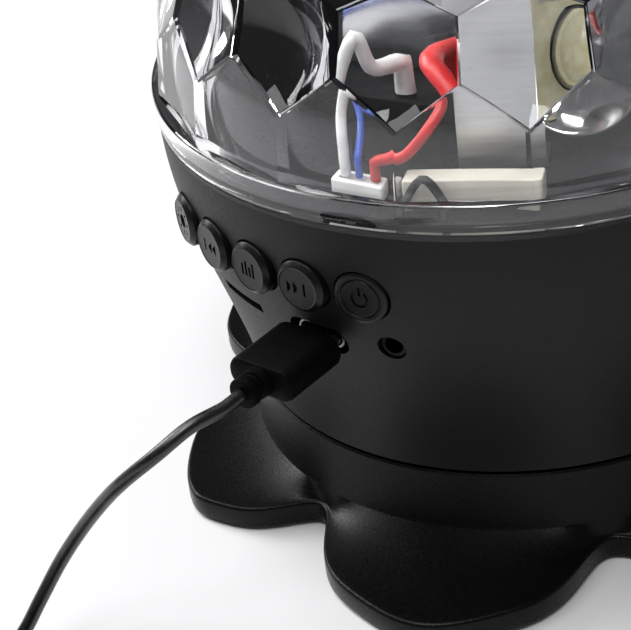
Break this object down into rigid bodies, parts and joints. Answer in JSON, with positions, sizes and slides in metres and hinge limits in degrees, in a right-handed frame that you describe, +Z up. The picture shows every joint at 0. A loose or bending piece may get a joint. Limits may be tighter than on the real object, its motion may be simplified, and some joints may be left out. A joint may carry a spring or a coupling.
{
  "type": "projector night light speaker",
  "caption": "Clear faceted dome that turns over three lamps, on a round speaker housing with push buttons and sockets; it stands on a flower-shaped base with a charging lead.",
  "frame": {"origin": "on the floor, under the middle of the flower base and on the axis that the dome turns about", "axes": "+Z up; the row of buttons and the charging socket face -Y; +X runs to the right as seen from the front"},
  "size_m": [0.1466, 0.2274, 0.1387],
  "materials": {
    "housing": "fine matte grain, with a soft sparkle on the petals",
    "buttons": "satin, with a glossy chamfer round the face",
    "cups": "plain satin black",
    "white_plastic": "plain moulded",
    "rubber": "matte",
    "lead": "soft matte jacket",
    "dome": "clear glossy polystyrene, cut in flat facets",
    "speaker_steel": "pressed steel",
    "motor_steel": "drawn steel can",
    "bracket": "plain sheet steel",
    "socket_steel": "bright plated shell",
    "screws": "plain",
    "magnet": "sintered, dull",
    "reflectors": "metallised, mirror bright",
    "cone": "black pressed paper",
    "emitters": "pale yellow lamp dome",
    "board": "lacquered circuit board",
    "battery": "shrink wrap",
    "wire_red": "insulated lead",
    "wire_black": "insulated lead",
    "wire_white": "insulated lead",
    "wire_blue": "insulated lead"
  },
  "bodies": {
    "housing": {"flower_base": "housing", "base_plate": "housing", "body_shell": "housing", "deck_plate": "housing", "base_screw_1": "screws", "base_screw_2": "screws", "base_screw_3": "screws", "foot_1": "rubber", "foot_2": "rubber", "foot_3": "rubber", "foot_4": "rubber", "foot_5": "rubber", "foot_6": "rubber", "speaker_basket": "speaker_steel", "speaker_cone": "cone", "speaker_magnet": "magnet", "gearbox": "motor_steel", "motor": "motor_steel", "motor_bracket": "bracket", "lamp_cup_1": "cups", "lamp_cup_2": "cups", "lamp_cup_3": "cups", "reflector_1": "reflectors", "reflector_2": "reflectors", "reflector_3": "reflectors", "emitter_1": "emitters", "emitter_2": "emitters", "emitter_3": "emitters", "terminal_block": "white_plastic", "wire_connector": "white_plastic", "lamp_driver": "cups", "driver_heatsink": "bracket", "wire_red": "wire_red", "wire_black": "wire_black", "wire_white": "wire_white", "wire_blue": "wire_blue", "battery_cell": "battery", "battery_tray": "housing", "main_board": "board", "button_board": "board", "usb_socket": "socket_steel", "card_socket": "socket_steel", "audio_jack": "cups", "usb_plug_body": "lead", "usb_plug_shell": "socket_steel", "usb_cord": "lead", "usb_cord_coil": "lead", "far_plug_body": "lead", "far_plug_shell": "socket_steel", "cable_tie": "cups"},
    "dome": {"crystal_dome": "dome", "dome_hub": "white_plastic", "drive_shaft": "screws"},
    "light_button": {"button_light": "buttons"},
    "previous_button": {"button_previous": "buttons"},
    "mode_button": {"button_mode": "buttons"},
    "next_button": {"button_next": "buttons"},
    "power_button": {"button_power": "buttons"}
  },
  "joints": [
    {"name": "dome_spin", "type": "hinge", "parent": "housing", "child": "dome", "pos_m": [0, 0, 0.0794], "axis": [0, 0, 1], "continuous": true},
    {"name": "light_press", "type": "slide", "parent": "housing", "child": "light_button", "axis": [0.3551, 0.9348, 0], "range_m": [0, 0.0006], "stiffness_N_per_m": 600, "springref_m": -0.0004},
    {"name": "previous_press", "type": "slide", "parent": "housing", "child": "previous_button", "axis": [0.1805, 0.9836, 0], "range_m": [0, 0.0006], "stiffness_N_per_m": 600, "springref_m": -0.0004},
    {"name": "mode_press", "type": "slide", "parent": "housing", "child": "mode_button", "axis": [0, 1, 0], "range_m": [0, 0.0006], "stiffness_N_per_m": 600, "springref_m": -0.0004},
    {"name": "next_press", "type": "slide", "parent": "housing", "child": "next_button", "axis": [-0.1805, 0.9836, 0], "range_m": [0, 0.0006], "stiffness_N_per_m": 600, "springref_m": -0.0004},
    {"name": "power_press", "type": "slide", "parent": "housing", "child": "power_button", "axis": [-0.3551, 0.9348, 0], "range_m": [0, 0.0006], "stiffness_N_per_m": 600, "springref_m": -0.0004}
  ]
}
